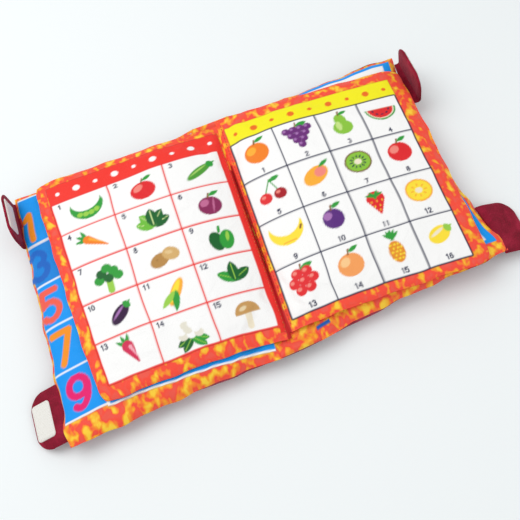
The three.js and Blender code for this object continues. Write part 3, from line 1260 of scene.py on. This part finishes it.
@dataclass
class Cover(Cushion):
    """A cushion cover: a printed inner panel on a plush outer one."""

    columns: int = 40
    rows: int = 50
    gather: float = 0.07
    pressure: float = 0.3
    cap: float = 5.0
    width: float = 227.7
    height: float = 312.0
    centre: float = 136.15
    draw: float = 6.0
    end_draw: float = 1.0
    blunt: float = 3.0
    blunt_power: int = 10
    stray: float = 1.6
    rest_loft: float = 0.5
    held_loft: float = 0.55
    sewn_from: float = 0.999
    floor_gap: float = 0.2

    def plan(self, u: Array, v: Array) -> tuple[Array, Array]:
        """Gives the place on the floor of a point of the cover, whose sides pull in and stray a little.

        Args:
            u: The point's place across.
            v: Its place along the spine.

        Returns:
            Its x and y.
        """
        outer = u * self.side.value > 0
        draw = np.where(outer, LIES[self.side].fore_draw, self.draw)
        x = self.side.value * self.centre + u * (self.width / 2 - draw * (1 - v * v))
        y = v * (self.height / 2 - self.end_draw * (1 - u * u))
        # The spine holds the inner corners in line.
        return self.wander(u, v, x, y, np.where(outer, 1.0, 1 - np.abs(u) ** 6))

    def flat(self, u: Array, v: Array) -> tuple[Array, Array]:
        """Gives the place of a point on the flat cut."""
        return self.side.value * self.centre + u * self.width / 2, v * self.height / 2

    def upper(self, u: Array, v: Array) -> Array:
        """Gives the height of the printed panel."""
        return UPPER_SEAM + CLOTH + CROWN * loft(u, v)

    def under(self, u: Array, v: Array) -> Array:
        """Gives the height of the plush panel, which is flat where it rests."""
        return (LOWER_SEAM - CLOTH) * (1 - np.minimum(1, loft(u, v) / self.rest_loft)) ** 1.5

    def held(self, u: Array, v: Array) -> Array:
        """Tells where the plush panel rests on the floor, or is sewn to the spine."""
        return (loft(u, v) > self.held_loft) | (u * self.side.value < -self.sewn_from)

    def settle(self, u: Array, v: Array, upper: Array, under: Array) -> None:
        """Keeps the printed panel below the page and the plush panel above the floor."""
        upper[..., 2] = np.minimum(upper[..., 2], self.upper(u, v))
        under[..., 2] = np.maximum(under[..., 2], self.floor_gap)

    def lay(self, x: Array, y: Array, v: Array) -> tuple[Array, Array]:
        """Moves points to where the slumped cover has them."""
        return LIES[self.side].cover(x, y)

    def make(self, finishes: Finishes) -> list[Object]:
        """Builds and dresses the cover.

        Args:
            finishes: The book's finishes.

        Returns:
            Its pieces.
        """
        word = self.side.word
        face, shell = self.panels(f"{word}_cover_printed_panel", f"{word}_cover_plush_panel")
        face.data.materials.append(finishes.satin)
        shell.data.materials.append(finishes.plush)
        for piece, slot, nodes in ((face, "cover_print_cloth", ("face", "filling")),
                                   (shell, "maroon_plush", ("shell",))):
            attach(piece, f"{word}_cover")
            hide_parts(*(f"{word}_cover_{node}" for node in nodes))
        return [face, shell]

    def prints(self, panel: Panel) -> None:
        """Prints a column of numbers on the left cover, or a bare framed field on the right one.

        Args:
            panel: The cover's printed panel.
        """
        if self.side is Side.LEFT:
            self.print_column(panel)
            return
        panel.band(23, 243, -128, 152, AZURE, fall=13.0)
        panel.band(29, 233, -122, 146.5, WHITE, fall=13.0)
        # Only a short strip of the print's blue lower edge shows beside the gutter, printed in a darker blue
        # as painted shade in the gap.
        panel.band(23, 40, -145, -140.5, "#0B5FB8")

    def print_column(self, panel: Panel) -> None:
        """Prints a column of plain numbers in blue boxes, beside a bare blue field.

        Args:
            panel: The cover's printed panel.
        """
        tints = ("#F7941D", INK_BLUE, "#F2604F", "#F7941D", "#E8126F")
        boxes = (AZURE, "#0B84DC", AZURE, AZURE, AZURE)
        fore, inner, gutter = -248, -203, -26
        head, top, step, line = 150.0, 134.0, 53.2, 2.2
        for i, (tint, box) in enumerate(zip(tints, boxes)):
            high = top - i * step
            low = high - step + line
            # The first box reaches up to the head of the cover.
            edge = high if i else head
            panel.band(fore, inner, low - line if i else top, edge + line, WHITE)
            panel.band(fore, inner, low, edge, box)
            # The column runs a little aslant, nearer to the fore edge at the head.
            panel.number(2 * i + 1, -240 + 0.75 * i * i, high - step / 2, 34, 7.4, tint)
        # The field beside the column ends lower at the gutter, so a strip of it shows under the page's tail.
        panel.band(inner, gutter, -134, head + line, WHITE, fall=14.0)
        panel.band(inner + 2.4, gutter, -131.8, head, AZURE, fall=13.6)


@dataclass
class Page(Cushion):
    """A padded page, sewn in at the gutter, whose printed front swells and falls into the gutter."""

    columns: int = 48
    rows: int = 60
    gather: float = 0.08
    pressure: float = 0.25
    cap: float = 3.0
    mean_width: float = 229.0
    gutter_shift: float = 7.0
    gutter_gap: float = 0.15
    height: float = 288.0
    draw: float = 2.0
    blunt: float = 4.0
    blunt_power: int = 12
    stray: float = 0.9
    swell: float = 8.5
    seat: float = 38.7
    ridge: float = 0.5
    fore_fall: float = 0.2
    end_fall: float = 0.3
    edge: float = 2.7
    least: float = 0.4
    held_loft: float = 0.6
    sewn_from: float = 0.985
    sewn_at: float = 4.5
    sewn_end: float = 138.0
    bend_from: float = 8.0
    bend_to: float = 62.0
    bend_height: float = 50.0
    plain_inner: float = 14.0
    plain_outer: float = 20.0
    plain_end: float = 126.0

    @property
    def width(self) -> float:
        """Gives the page's width from the gutter to its fore edge."""
        return self.mean_width + self.side.value * self.gutter_shift

    def plan(self, u: Array, v: Array) -> tuple[Array, Array]:
        """Gives the place on the floor of a point of the page, whose edges stray a little.

        Args:
            u: The point's place across.
            v: Its place along the spine.

        Returns:
            Its x and y.
        """
        sign, reach = self.side.value, self.width / 2
        x = sign * (self.gutter_gap + reach) + u * (reach - self.draw * (1 - v * v))
        y = v * (self.height / 2 - self.draw * (1 - u * u))
        return self.wander(u, v, x, y, 1.0)

    def flat(self, u: Array, v: Array) -> tuple[Array, Array]:
        """Gives the place of a point on the flat cut."""
        return (self.side.value + u) * self.width / 2, v * self.height / 2

    def under(self, u: Array, v: Array) -> Array:
        """Gives the height of the page's back, which follows the cover and falls into the gutter.

        Args:
            u: The points' places across.
            v: Their places along the spine.

        Returns:
            Their heights.
        """
        out = (1 + self.side.value * u) / 2
        dip = np.clip(1 - out / self.ridge, 0, None) ** 2.5
        fore = np.clip((out - self.ridge) / (1 - self.ridge), 0, None) ** 5
        return self.seat - CROWN * (dip + self.fore_fall * fore + self.end_fall * np.abs(v) ** 3 * (1 - dip))

    def upper(self, u: Array, v: Array) -> Array:
        """Gives the height of the page's front."""
        return self.under(u, v) + self.edge + self.swell * loft(u, v)

    def held(self, u: Array, v: Array) -> Array:
        """Tells where the back is sewn into the gutter or lies on the cover."""
        return (u * self.side.value < -self.sewn_from) | (loft(u, v) > self.held_loft)

    def settle(self, u: Array, v: Array, upper: Array, under: Array) -> None:
        """Keeps the back above the cover and the front below the page that closes on it."""
        under[..., 2] = np.maximum(under[..., 2], self.under(u, v))
        upper[..., 2] = np.clip(upper[..., 2], under[..., 2] + self.least, self.upper(u, v))

    def lay(self, x: Array, y: Array, v: Array) -> tuple[Array, Array]:
        """Moves points to where the slumped page has them."""
        return LIES[self.side].page(x, y, v)

    def prints(self, panel: Panel) -> None:
        """Prints the page's chart."""
        CHARTS[self.side].print_on(panel)

    def make(self, finishes: Finishes) -> list[Object]:
        """Builds and dresses the page.

        Args:
            finishes: The book's finishes.

        Returns:
            Its pieces.
        """
        word, sign = self.side.word, self.side.value
        front, back = self.panels(f"{word}_page_printed_front", f"{word}_page_printed_back")
        plain = Panel(read(back, "cut"))
        sides = sorted((sign * self.plain_inner, sign * (self.width - self.plain_outer)))
        plain.band(*sides, -self.plain_end, self.plain_end, "#FFF4C9")
        plain.dry(back)
        stitches = self.gutter_stitches(front)
        stitches.data.materials.append(finishes.thread)
        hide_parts(f"{word}_page_front", f"{word}_page_wadding")
        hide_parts(f"{word}_page_back")
        # A bend's two ends are listed, on the cover and on the page, with the order reversed on the right,
        # since at a half turn a bend goes about +y from its first body.
        ends = [(body, (sign * far * MM, 0, self.bend_height * MM))
                for body, far in ((f"{word}_cover", self.bend_from), (f"{word}_page", self.bend_to))]
        if self.side is Side.RIGHT:
            ends.reverse()
        for piece in (front, back):
            piece.data.materials.append(finishes.page_satin)
            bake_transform(piece)
        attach(stitches, f"{word}_cover")
        return [front, back, stitches]

    def gutter_stitches(self, front: Object) -> Object:
        """Sews the page in with a row of stitches beside the gutter.

        Args:
            front: The page's printed front.

        Returns:
            The stitches' object.
        """
        sign = self.side.value
        points, cut = read(front) / MM, read(front, "cut")
        aside = (cut[:, 0] - sign * self.sewn_at) ** 2
        way = np.array([points[np.argmin(aside + (cut[:, 1] - y) ** 2)]
                        for y in np.arange(-self.sewn_end, self.sewn_end + 0.1, 2.0)])
        return stitch_row(f"{self.side.word}_gutter_stitches", way, np.array((-sign * 0.75, 0, 0.66)),
                          long=3.4, gap=1.4, thick=0.5)


# Spine


@dataclass
class Spine:
    """The two strips that join the covers: a printed lining, and plush outside."""

    half: float = 22.0
    height: float = 312.0
    draw: float = 6.0
    lap: float = 1.5
    roll: float = 3.5
    roll_from: float = 0.93
    roll_over: float = 0.04
    end_from: float = 0.98
    end_over: float = 0.02
    columns: int = 28
    rows: int = 90

    def strip(self, name: str, low: float, high: float, slack: float) -> Object:
        """Makes one strip, which dips between the covers' seams.

        Args:
            name: The object's name.
            low: The height of its under face at the seams.
            high: The height of its upper face at the seams.
            slack: How far it dips in its middle.

        Returns:
            The object.
        """
        u, v = np.meshgrid(np.linspace(-1, 1, self.columns + 1), stops(self.rows))
        x = u * (self.half + self.draw * (1 - v * v) + self.lap)
        y = v * self.height / 2
        cut = np.stack((u * self.half, y, np.zeros_like(u)), axis=2)
        left, right = (LIES[side].cover(x, y)[1] for side in Side)
        y = np.where(x < 0, left, right)
        # Past the pages the strip rises in a soft roll, and turns down at its end.
        past = np.clip((np.abs(v) - self.roll_from) / self.roll_over, 0, 1)
        end = np.clip((np.abs(v) - self.end_from) / self.end_over, 0, 1) ** 2
        wobble = 1 + 0.12 * np.sin(v * 19)
        dip = slack * (1 - u * u) * wobble - self.roll * past * (1 - end) * (1 - u ** 4)
        upper, under = (np.stack((x, y, z - dip), axis=2) for z in (high, low))
        return plate(name, upper, under, cut, flip=False)

    def make(self, finishes: Finishes) -> list[Object]:
        """Builds and dresses both strips.

        Args:
            finishes: The book's finishes.

        Returns:
            The two pieces.
        """
        lining = self.strip("spine_lining_strip", UPPER_SEAM, UPPER_SEAM + CLOTH, 1.0)
        outer = self.strip("spine_plush_strip", LOWER_SEAM - CLOTH, LOWER_SEAM, 3.0)
        Panel(read(lining, "cut")).dry(lining)
        for piece, node, slot, finish in ((lining, "spine_lining", "lining_print_cloth", finishes.satin),
                                          (outer, "spine_outer", "maroon_plush", finishes.plush)):
            piece.data.materials.append(finish)
            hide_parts(node)
            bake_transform(piece)
        return [lining, outer]


# Tabs


@dataclass
class Tab:
    """A plush closing tab with a round end, and its patch of fastener tape.

    The rise is the angle at which the tab stands, and the middle is its place along the spine.
    """

    side: Side
    end: End
    rise: float
    middle: float
    half: float = 32.0
    reach: float = 40.0
    tip: float = 20.0
    thick: float = 3.4
    hem: float = 0.35
    puff_over: float = 7.0
    neck: float = 12.0
    bend: float = 4.0
    tuck: float = 3.0
    blend_reach: float = 5.0
    patch_wide: float = 40.0
    patch_long: float = 24.0
    patch_middle: float = 25.5
    patch_snip: float = 29.0
    patch_round: float = 0.35
    patch_low: float = 1.55
    patch_edge: float = 1.9
    patch_rise: float = 0.9
    patch_rise_over: float = 1.2
    patch_columns: int = 16
    patch_rows: int = 24
    stitch_inset: float = 2.4
    stitch_height: float = 2.62
    columns: int = 30
    rows: int = 44

    @property
    def corner(self) -> str:
        """Gives the name of the book's corner that the tab is at."""
        return f"{self.side.word}_{self.end.value}"

    @property
    def fold(self) -> float:
        """Gives the fold line's distance from the gutter."""
        return 258.4 if self.side is Side.LEFT else 252.1

    def frame_at(self, d: Array) -> tuple[Array, Array]:
        """Gives the tab's middle line, which bends smoothly at the fold.

        Args:
            d: Distances past the fold line, negative towards the cover.

        Returns:
            The points of the line and the directions out of its upper face.
        """
        fine = np.linspace(-self.neck, self.reach, 621)
        share = np.clip((fine + self.bend) / (2 * self.bend), 0, 1)
        angle = math.radians(self.rise) * share * share * (3 - 2 * share)
        between, step = (angle[1:] + angle[:-1]) / 2, fine[1] - fine[0]
        bow = np.clip(-fine / self.neck, 0, 1)
        ways = []
        for turned, far, near in zip((np.cos, np.sin), ray(self.rise), (-self.neck, 0.0)):
            way = np.concatenate(((0.0,), np.cumsum(turned(between) * step)))
            # The far part lies on the line that the hinge turns through the fold.
            way += self.reach * far - way[-1]
            way += (near - way[0]) * bow
            ways.append(way)
        out, high, turn = (np.interp(d, fine, values) for values in (*ways, angle))
        sign, zero = self.side.value, np.zeros_like(d)
        line = np.stack((sign * (self.fold + out), zero, SEAM_HEIGHT + high), axis=-1)
        return line, np.stack((-sign * np.sin(turn), zero, np.cos(turn)), axis=-1)

    def half_width(self, d: Array) -> Array:
        """Gives half the tab's width, which closes in a round end."""
        c = np.clip(d - (self.reach - self.tip), 0, self.tip) / self.tip
        return self.half - self.tip * (1 - np.sqrt(np.clip(1 - c * c, 0, 1)))

    def blade(self) -> Object:
        """Makes the plush tab, two layers sewn round their edge with a little wadding.

        Returns:
            The object.
        """
        s = np.linspace(0, 1, self.rows + 1)
        run = -self.neck + (self.reach + self.neck) * (0.55 * s + 0.45 * np.sin(s * math.pi / 2))
        w, d = np.meshgrid(stops(self.columns), run)
        across = w * self.half_width(d)
        # The root ends just inside the cover's seam.
        fore_edge = LIES[self.side].fore_edge(self.middle + across)
        root_length = np.clip(self.fold - fore_edge, 0, None) + self.tuck
        d = np.where(d < 0, d * np.minimum(1, root_length / self.neck), d)
        line, up = self.frame_at(d)
        line[..., 1] = self.middle + across
        edge = np.minimum(self.half_width(d) - np.abs(across), self.reach - d)
        puff = np.sqrt(np.clip(1 - (1 - np.clip(edge / self.puff_over, 0, 1)) ** 2, 0, 1))
        # The seam's thread pulls small ribs into the edge.
        rib = 0.10 * np.sin(across * 0.9) * np.exp(-edge / 5)
        pad = up * (self.hem + (self.thick / 2 - self.hem) * puff + rib)[..., None]
        cut = np.stack((d, across, np.zeros_like(w)), axis=2)
        made = plate(f"{self.corner}_tab_plush", line + pad, line - pad, cut, flip=self.side is Side.LEFT)
        refine(made, PLAIN_HALVINGS)
        return made

    def patch(self) -> Object:
        """Makes the fastener tape, a thin plate with rounded corners that lies on the tab.

        Returns:
            The object.
        """
        counts = (self.patch_columns, self.patch_rows)
        u, v = np.meshgrid(*(np.linspace(-1, 1, count + 1) for count in counts))
        # The corners are snipped round.
        corner = (np.abs(u) * self.patch_long + np.abs(v) * self.patch_wide) / 2 - self.patch_snip
        snip = np.clip(corner, 0, None) * self.patch_round
        d = self.patch_middle + u * self.patch_long / 2 - np.sign(u) * snip
        across = v * self.patch_wide / 2 - np.sign(v) * snip
        line, up = self.frame_at(d)
        line[..., 1] = self.middle + across
        up = -self.side.value * up
        edge = np.minimum((1 - np.abs(u)) * self.patch_long, (1 - np.abs(v)) * self.patch_wide) / 2
        top = self.patch_edge + self.patch_rise * np.sqrt(np.clip(edge / self.patch_rise_over, 0, 1))
        cut = np.stack((d, across, np.zeros_like(d)), axis=2)
        upper, under = line + up * top[..., None], line + up * self.patch_low
        return plate(f"{self.corner}_tab_tape", upper, under, cut, flip=True)

    def box_stitch(self) -> Object:
        """Sews the tape down with a box of stitches.

        Returns:
            The stitches' object.
        """
        a, b = self.patch_long / 2 - self.stitch_inset, self.patch_wide / 2 - self.stitch_inset
        corners = np.array(((-a, -b), (a, -b), (a, b), (-a, b), (-a, -b)))
        edges = [np.linspace(p, q, 20)[:-1] for p, q in zip(corners[:-1], corners[1:])]
        way = np.concatenate(edges + [corners[:1]])
        line, up = self.frame_at(self.patch_middle + way[:, 0])
        line[:, 1] = self.middle + way[:, 1]
        up = -self.side.value * up
        return stitch_row(f"{self.corner}_tab_box_stitches", line + up * self.stitch_height, up[0],
                          long=2.6, gap=1.1, thick=0.26)

    def make(self, finishes: Finishes) -> list[Object]:
        """Builds and dresses the tab.

        Args:
            finishes: The book's finishes.

        Returns:
            Its pieces.
        """
        kind, finish = ("hook", finishes.hooks) if self.side is Side.LEFT else ("loop", finishes.loops)
        body = f"{self.corner}_tab"
        blade, patch, stitches = self.blade(), self.patch(), self.box_stitch()
        blade.data.materials.append(finishes.plush)
        patch.data.materials.append(finish)
        stitches.data.materials.append(finishes.tape_thread)
        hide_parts(body)
        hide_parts(f"{self.corner}_{kind}_patch")
        for piece in (patch, stitches):
            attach(piece, body)
        past_fold, _ = self.frame_at(np.array(self.blend_reach))
        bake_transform(blade)
        return [blade, patch, stitches]


# Stage


@dataclass
class Studio:
    """The floor, the soft lamps and the camera of the photograph."""

    aim: tuple[float, float, float] = (-4.1, -33.5, 0.0)
    distance: float = 789.4
    sensor: float = 36.0
    focal_pixels: float = 679.5
    picture_pixels: float = 520.0
    height_deg: float = 66.0
    turn_deg: float = 10.19
    roll_deg: float = -10.81
    floor_reach: float = 4000.0

    def camera(self) -> None:
        """Stands the camera where the photograph was taken from."""
        height, turn, roll = (math.radians(a) for a in (self.height_deg, self.turn_deg, self.roll_deg))
        spin = Matrix.Rotation(-turn, 3, "Z")
        back = spin @ Vector((0, -math.cos(height), math.sin(height)))
        right = spin @ Vector((1, 0, 0))
        up = back.cross(right)
        across = right * math.cos(roll) + up * math.sin(roll)
        upward = up * math.cos(roll) - right * math.sin(roll)
        data = bpy.data.cameras.new("camera")
        data.sensor_width = self.sensor
        data.lens = self.sensor * self.focal_pixels / self.picture_pixels
        data.clip_start, data.clip_end = 0.01, 20.0
        made = bpy.data.objects.new("camera", data)
        bpy.context.collection.objects.link(made)
        made.matrix_world = Matrix((across, upward, back)).transposed().to_4x4()
        made.matrix_world.translation = (Vector(self.aim) + back * self.distance) * MM
        bpy.context.scene.camera = made

    def floor(self) -> None:
        """Lays the pale floor."""
        corners = np.array(((-1, -1, 0), (1, -1, 0), (1, 1, 0), (-1, 1, 0))) * self.floor_reach
        made = mesh_object("floor", corners, [(0, 1, 2, 3)])
        made.data.materials.append(StudioBoard("studio_board_painted_matt").make())

    def lamps(self) -> None:
        """Hangs one broad soft lamp overhead and fills the shade from all round."""
        world = bpy.data.worlds.new("studio")
        world.use_nodes = True
        tree = world.node_tree
        tree.nodes.clear()
        glow = add(tree, "ShaderNodeBackground", {"Color": linear("#FFFFFF"), "Strength": 0.6})
        add(tree, "ShaderNodeOutputWorld", {"Surface": glow.outputs[0]})
        bpy.context.scene.world = world
        aim = Vector((0, 0, 0.03))
        for name, place, size, power in (("key", (-0.7, 0.5, 1.5), 1.4, 13.0),
                                         ("fill", (0.9, -0.8, 1.4), 1.6, 4.5)):
            data = bpy.data.lights.new(name, "AREA")
            data.shape, data.size, data.energy = "DISK", size, power
            made = bpy.data.objects.new(name, data)
            made.location = place
            made.rotation_euler = (Vector(place) - aim).to_track_quat("Z", "Y").to_euler()
            bpy.context.collection.objects.link(made)


def main() -> None:
    """Builds the book in order and reports each piece."""
    logging.basicConfig(level=logging.INFO, format="%(name)s: %(message)s")
    studio = Studio()
    studio.camera()
    studio.floor()
    studio.lamps()
    bpy.context.scene.view_settings.view_transform = "Standard"
    finishes = Finishes()
    builders = [Cover(Side.RIGHT), Cover(Side.LEFT), Spine(), Page(Side.LEFT), Page(Side.RIGHT),
                Tab(Side.LEFT, End.TOP, 90.0, 106.0), Tab(Side.LEFT, End.BOTTOM, -22.18, -128.0),
                Tab(Side.RIGHT, End.TOP, 98.0, 116.0), Tab(Side.RIGHT, End.BOTTOM, -22.18, -105.0)]
    for builder in builders:
        for piece in builder.make(finishes):
            LOG.info("%s: %d faces", piece.name, len(piece.data.polygons))


if __name__ == "__main__":
    main()
